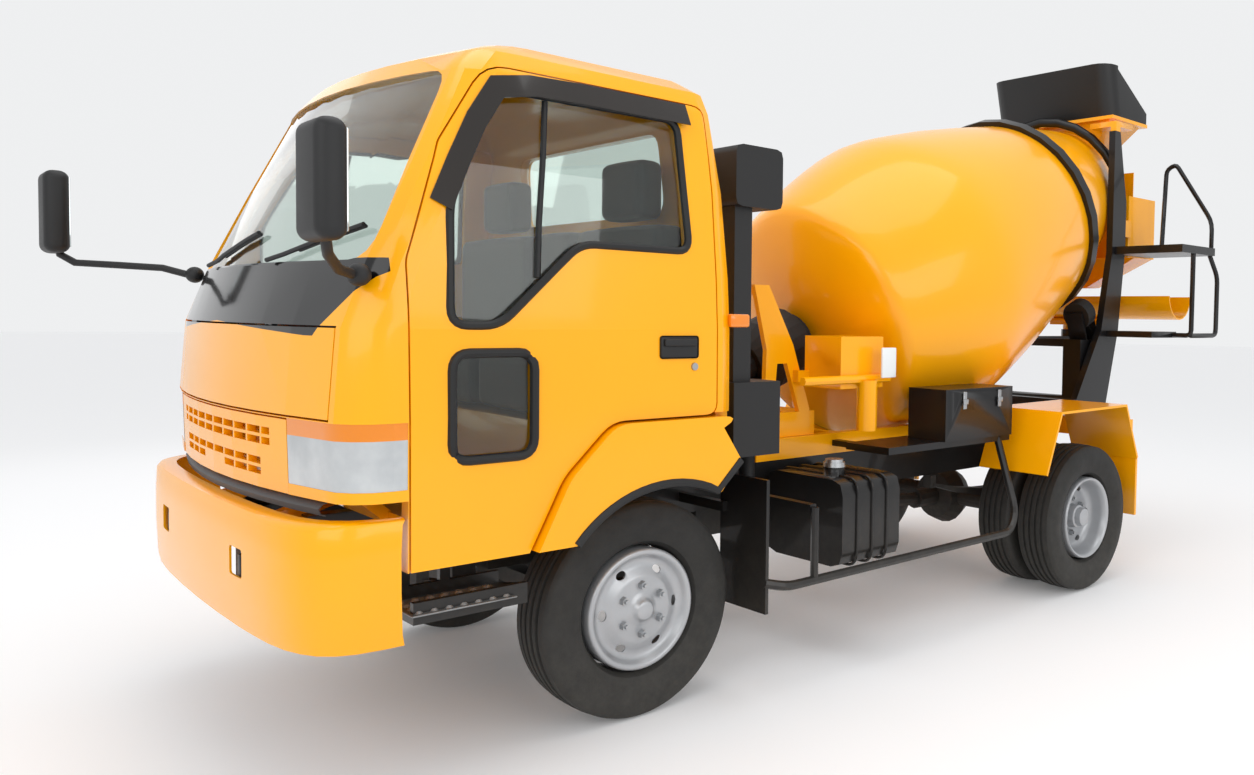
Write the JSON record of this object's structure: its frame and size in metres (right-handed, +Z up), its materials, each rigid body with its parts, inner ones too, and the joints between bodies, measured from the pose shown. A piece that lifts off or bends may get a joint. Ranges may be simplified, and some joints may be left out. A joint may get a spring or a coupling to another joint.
{
  "type": "concrete mixer truck",
  "caption": "Small tilt-cab concrete mixer truck with a slanted rear-discharge drum, charging hopper, swinging chute, loading platform and twin rear wheels.",
  "frame": {"origin": "on the ground under the middle of the vehicle's bounding box", "axes": "+X towards the front of the truck, +Y to its left side, +Z up"},
  "size_m": [5.2673, 2.27, 2.88],
  "materials": {
    "yellow_paint": "glossy amber-yellow paint, dusty low down",
    "black_paint": "semi-gloss black paint",
    "black_plastic": "grained black moulding",
    "grey_plastic": "mid-grey moulding and grey gearbox paint",
    "tyre_rubber": "dusty tyre rubber",
    "silver_paint": "silver wheel paint",
    "bare_steel": "worn bare steel",
    "cast_iron": "dark cast iron and underbody paint",
    "glass": "clear green-tinted glass",
    "lamp_lens": "clear lamp lens over a bright reflector",
    "seat_cloth": "dark grey woven cloth",
    "rubber_sheet": "black rubber sheet"
  },
  "bodies": {
    "chassis": {"chassis_frame": "black_paint", "mixer_subframe": "yellow_paint", "front_axle": "cast_iron", "rear_axle": "cast_iron", "front_bumper": "yellow_paint", "engine_and_driveline": "cast_iron", "air_intake": "black_plastic", "side_guard_left": "black_paint", "side_guard_right": "black_paint", "fuel_tank": "black_paint", "toolbox": "black_paint", "drum_pedestal": "yellow_paint", "drum_gearbox": "grey_plastic", "control_box": "yellow_paint", "rear_frame": "black_paint", "hopper": "yellow_paint", "hopper_hood": "rubber_sheet", "collector": "yellow_paint", "platform": "black_paint", "rear_wing_left": "yellow_paint", "rear_wing_right": "yellow_paint", "rear_bar": "yellow_paint"},
    "cab": {"cab_shell": "yellow_paint", "front_wing_left": "yellow_paint", "front_wing_right": "yellow_paint", "grille": "yellow_paint", "headlamp_left": "lamp_lens", "headlamp_right": "lamp_lens", "windscreen": "glass", "rear_window": "glass", "dashboard": "grey_plastic", "seats": "seat_cloth", "mirror_left": "black_paint", "mirror_right": "black_paint"},
    "steering": {"steering_wheel": "black_plastic"},
    "left_door": {"door_left": "yellow_paint", "door_glass_left": "glass", "door_lower_glass_left": "glass"},
    "right_door": {"door_right": "yellow_paint", "door_glass_right": "glass"},
    "lid": {"front_lid": "yellow_paint"},
    "left_knuckle": {"knuckle_left": "cast_iron"},
    "right_knuckle": {"knuckle_right": "cast_iron"},
    "front_left_wheel": {"front_wheel_left": "silver_paint", "front_tyre_left": "tyre_rubber"},
    "front_right_wheel": {"front_wheel_right": "silver_paint", "front_tyre_right": "tyre_rubber"},
    "rear_left_wheels": {"rear_wheel_left": "silver_paint", "rear_outer_tyre_left": "tyre_rubber", "rear_inner_tyre_left": "tyre_rubber"},
    "rear_right_wheels": {"rear_wheel_right": "silver_paint", "rear_outer_tyre_right": "tyre_rubber", "rear_inner_tyre_right": "tyre_rubber"},
    "drum": {"mixer_drum": "yellow_paint", "drum_ring": "black_paint"},
    "left_roller": {"roller_left": "bare_steel"},
    "right_roller": {"roller_right": "bare_steel"},
    "discharge_chute": {"chute": "yellow_paint"},
    "box_lid": {"toolbox_lid": "black_paint"}
  },
  "joints": [
    {"name": "cab_tilt", "type": "hinge", "parent": "chassis", "child": "cab", "pos_m": [2.304, 0, 0.7], "axis": [0, 1, 0], "range_deg": [0, 45]},
    {"name": "steering_wheel_turn", "type": "hinge", "parent": "cab", "child": "steering", "pos_m": [1.834, -0.42, 1.4], "axis": [-0.4392, 0, 0.8984], "range_deg": [-630, 630]},
    {"name": "door_left_hinge", "type": "hinge", "parent": "cab", "child": "left_door", "pos_m": [2.108, 0.868, 1.2], "axis": [0, 0, -1], "range_deg": [0, 65]},
    {"name": "door_right_hinge", "type": "hinge", "parent": "cab", "child": "right_door", "pos_m": [2.108, -0.868, 1.2], "axis": [0, 0, 1], "range_deg": [0, 65]},
    {"name": "front_lid_hinge", "type": "hinge", "parent": "cab", "child": "lid", "pos_m": [2.346, 0, 1.288], "axis": [0, -1, 0], "range_deg": [0, 60]},
    {"name": "steer_left", "type": "hinge", "parent": "chassis", "child": "left_knuckle", "pos_m": [1.304, 0.6, 0.362], "axis": [0, 0, 1], "range_deg": [-35, 35]},
    {"name": "steer_right", "type": "hinge", "parent": "chassis", "child": "right_knuckle", "pos_m": [1.304, -0.6, 0.362], "axis": [0, 0, 1], "range_deg": [-35, 35]},
    {"name": "front_left_wheel_spin", "type": "hinge", "parent": "left_knuckle", "child": "front_left_wheel", "pos_m": [1.304, 0.745, 0.362], "axis": [0, 1, 0], "continuous": true},
    {"name": "front_right_wheel_spin", "type": "hinge", "parent": "right_knuckle", "child": "front_right_wheel", "pos_m": [1.304, -0.745, 0.362], "axis": [0, 1, 0], "continuous": true},
    {"name": "rear_left_wheels_spin", "type": "hinge", "parent": "chassis", "child": "rear_left_wheels", "pos_m": [-1.194, 0.928, 0.362], "axis": [0, 1, 0], "continuous": true},
    {"name": "rear_right_wheels_spin", "type": "hinge", "parent": "chassis", "child": "rear_right_wheels", "pos_m": [-1.194, -0.928, 0.362], "axis": [0, 1, 0], "continuous": true},
    {"name": "drum_spin", "type": "hinge", "parent": "chassis", "child": "drum", "pos_m": [-0.046, 0, 1.245], "axis": [-0.9272, 0, 0.3746], "continuous": true},
    {"name": "left_roller_spin", "type": "hinge", "parent": "chassis", "child": "left_roller", "pos_m": [-1.93149, 0.4, 1.38328], "axis": [-0.9272, 0, 0.3746], "continuous": true},
    {"name": "right_roller_spin", "type": "hinge", "parent": "chassis", "child": "right_roller", "pos_m": [-1.93149, -0.4, 1.38328], "axis": [-0.9272, 0, 0.3746], "continuous": true},
    {"name": "chute_swing", "type": "hinge", "parent": "chassis", "child": "discharge_chute", "pos_m": [-2.486, 0, 1.29], "axis": [0, 0, 1], "range_deg": [0, 180]},
    {"name": "toolbox_lid_hinge", "type": "hinge", "parent": "chassis", "child": "box_lid", "pos_m": [-0.486, 0.772, 0.8003], "axis": [-1, 0, 0], "range_deg": [0, 90]}
  ],
  "couplings": [
    {"joint": "steer_right", "follows": "steer_left", "ratio": 1},
    {"joint": "steering_wheel_turn", "follows": "steer_left", "ratio": 18},
    {"joint": "left_roller_spin", "follows": "drum_spin", "ratio": -7.2},
    {"joint": "right_roller_spin", "follows": "drum_spin", "ratio": -7.2}
  ]
}
